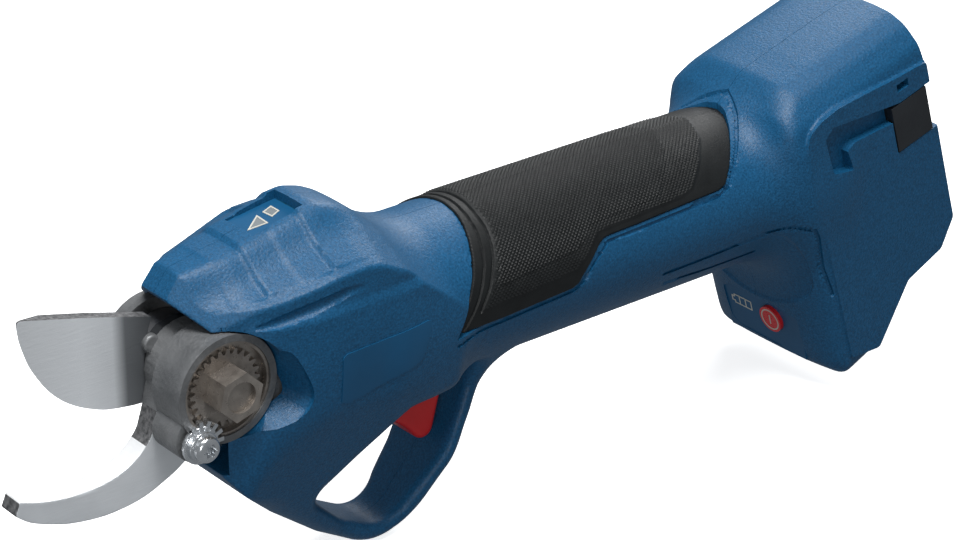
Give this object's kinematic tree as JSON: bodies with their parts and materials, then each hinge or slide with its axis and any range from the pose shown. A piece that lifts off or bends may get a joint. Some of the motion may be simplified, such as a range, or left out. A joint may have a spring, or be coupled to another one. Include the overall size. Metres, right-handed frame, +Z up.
{
  "type": "battery electric pruner",
  "caption": "Cordless pruning shear: hooked fixed blade and motor-driven cutting blade, cylindrical rubber grip, finger guard with trigger, raked rear battery housing.",
  "frame": {"origin": "on the axis of the grip, half way along the rubber", "axes": "+X along the grip towards the battery (blades point to -X), +Y to the tool's right, +Z up, the side of the hood; the finger guard is at -Z"},
  "size_m": [0.2926, 0.0524, 0.1061],
  "materials": {
    "blue_plastic": "fine sparkle moulded texture",
    "grip_rubber": "soft matt with fine cross-hatch",
    "cast_metal": "dark phosphated casting",
    "blade_steel": "ground and brushed",
    "nut_steel": "dark burnished",
    "zinc_steel": "bright zinc plate",
    "gear_steel": "hardened, oiled",
    "bearing_steel": "polished rings",
    "screw_steel": "black oxide",
    "trigger_red": "fine moulded texture",
    "button_red": "smooth",
    "panel_plastic": "satin label",
    "board_green": "circuit board",
    "black_plastic": "fine texture",
    "cell_wrap": "shrink sleeve",
    "contact_metal": "plated spring contacts",
    "stator_metal": "wound laminations",
    "spring_steel": "drawn wire",
    "motor_metal": "drawn can"
  },
  "bodies": {
    "housing": {"shell_left": "blue_plastic", "shell_right": "blue_plastic", "grip_left": "grip_rubber", "grip_right": "grip_rubber", "housing_screws": "screw_steel", "gear_case": "cast_metal", "hook_blade": "blade_steel", "pivot_bolt": "nut_steel", "pivot_nut": "nut_steel", "lock_screw": "zinc_steel", "output_bearing": "bearing_steel", "ring_gear_case": "gear_steel", "motor_can": "motor_metal", "motor_flange": "motor_metal", "motor_stator": "stator_metal", "motor_end_cap": "black_plastic", "trigger_pin": "bearing_steel", "trigger_switch": "black_plastic", "trigger_spring": "spring_steel", "indicator_panel": "panel_plastic", "indicator_board": "board_green", "ui_panel": "panel_plastic", "ui_board": "board_green", "button_spring": "spring_steel", "control_board": "board_green", "power_stage": "black_plastic", "terminal_block": "black_plastic", "terminal_contacts": "contact_metal"},
    "blade": {"moving_blade": "blade_steel", "blade_bush": "contact_metal", "blade_pin": "cast_metal", "drive_sector": "gear_steel"},
    "output_shaft": {"bevel_pinion": "gear_steel", "planet_carrier": "gear_steel"},
    "planet_1": {"planet_gear_1": "gear_steel"},
    "planet_2": {"planet_gear_2": "gear_steel"},
    "planet_3": {"planet_gear_3": "gear_steel"},
    "rotor": {"motor_shaft": "gear_steel", "motor_rotor": "motor_metal"},
    "trigger": {"trigger": "trigger_red"},
    "power_button": {"power_button": "button_red"},
    "battery": {"pack_case": "black_plastic", "pack_cover": "black_plastic", "pack_cells": "cell_wrap", "pack_contacts": "contact_metal", "tab_spring_left": "spring_steel", "tab_spring_right": "spring_steel"},
    "tab_left": {"release_tab_left": "black_plastic"},
    "tab_right": {"release_tab_right": "black_plastic"}
  },
  "joints": [
    {"name": "blade_hinge", "type": "hinge", "parent": "housing", "child": "blade", "pos_m": [-0.1315, 0.0018, 0.003], "axis": [0, -1, 0], "range_deg": [0, 50]},
    {"name": "output_spin", "type": "hinge", "parent": "housing", "child": "output_shaft", "pos_m": [-0.1, 0, 0.003], "axis": [1, 0, 0], "range_deg": [-2, 182]},
    {"name": "rotor_spin", "type": "hinge", "parent": "housing", "child": "rotor", "pos_m": [-0.04, 0, 0.003], "axis": [1, 0, 0], "range_deg": [-8, 728]},
    {"name": "planet_1_spin", "type": "hinge", "parent": "output_shaft", "child": "planet_1", "pos_m": [-0.076, 0, 0.0114], "axis": [1, 0, 0], "range_deg": [-548, 6]},
    {"name": "planet_2_spin", "type": "hinge", "parent": "output_shaft", "child": "planet_2", "pos_m": [-0.076, -0.00727, -0.0012], "axis": [1, 0, 0], "range_deg": [-548, 6]},
    {"name": "planet_3_spin", "type": "hinge", "parent": "output_shaft", "child": "planet_3", "pos_m": [-0.076, 0.00727, -0.0012], "axis": [1, 0, 0], "range_deg": [-548, 6]},
    {"name": "trigger_hinge", "type": "hinge", "parent": "housing", "child": "trigger", "pos_m": [-0.0855, 0, -0.0169], "axis": [0, -1, 0], "range_deg": [0, 9], "stiffness_Nm_per_rad": 0.35, "springref_deg": -9.17, "deforming": ["trigger_spring"]},
    {"name": "power_button_slide", "type": "slide", "parent": "housing", "child": "power_button", "axis": [0.9578, 0, 0.2874], "range_m": [0, 0.001], "stiffness_N_per_m": 800, "springref_m": -0.001, "deforming": ["button_spring"]},
    {"name": "battery_slide", "type": "slide", "parent": "housing", "child": "battery", "axis": [0.9578, 0, 0.2874], "range_m": [0, 0.06]},
    {"name": "tab_left_slide", "type": "slide", "parent": "battery", "child": "tab_left", "axis": [0, 1, 0], "range_m": [0, 0.0022], "stiffness_N_per_m": 1500, "springref_m": -0.001, "deforming": ["tab_spring_left"]},
    {"name": "tab_right_slide", "type": "slide", "parent": "battery", "child": "tab_right", "axis": [0, -1, 0], "range_m": [0, 0.0022], "stiffness_N_per_m": 1500, "springref_m": -0.001, "deforming": ["tab_spring_right"]}
  ],
  "couplings": [
    {"joint": "output_spin", "follows": "blade_hinge", "ratio": 3.6},
    {"joint": "rotor_spin", "follows": "blade_hinge", "ratio": 14.4},
    {"joint": "planet_1_spin", "follows": "blade_hinge", "ratio": -10.8},
    {"joint": "planet_2_spin", "follows": "blade_hinge", "ratio": -10.8},
    {"joint": "planet_3_spin", "follows": "blade_hinge", "ratio": -10.8}
  ]
}
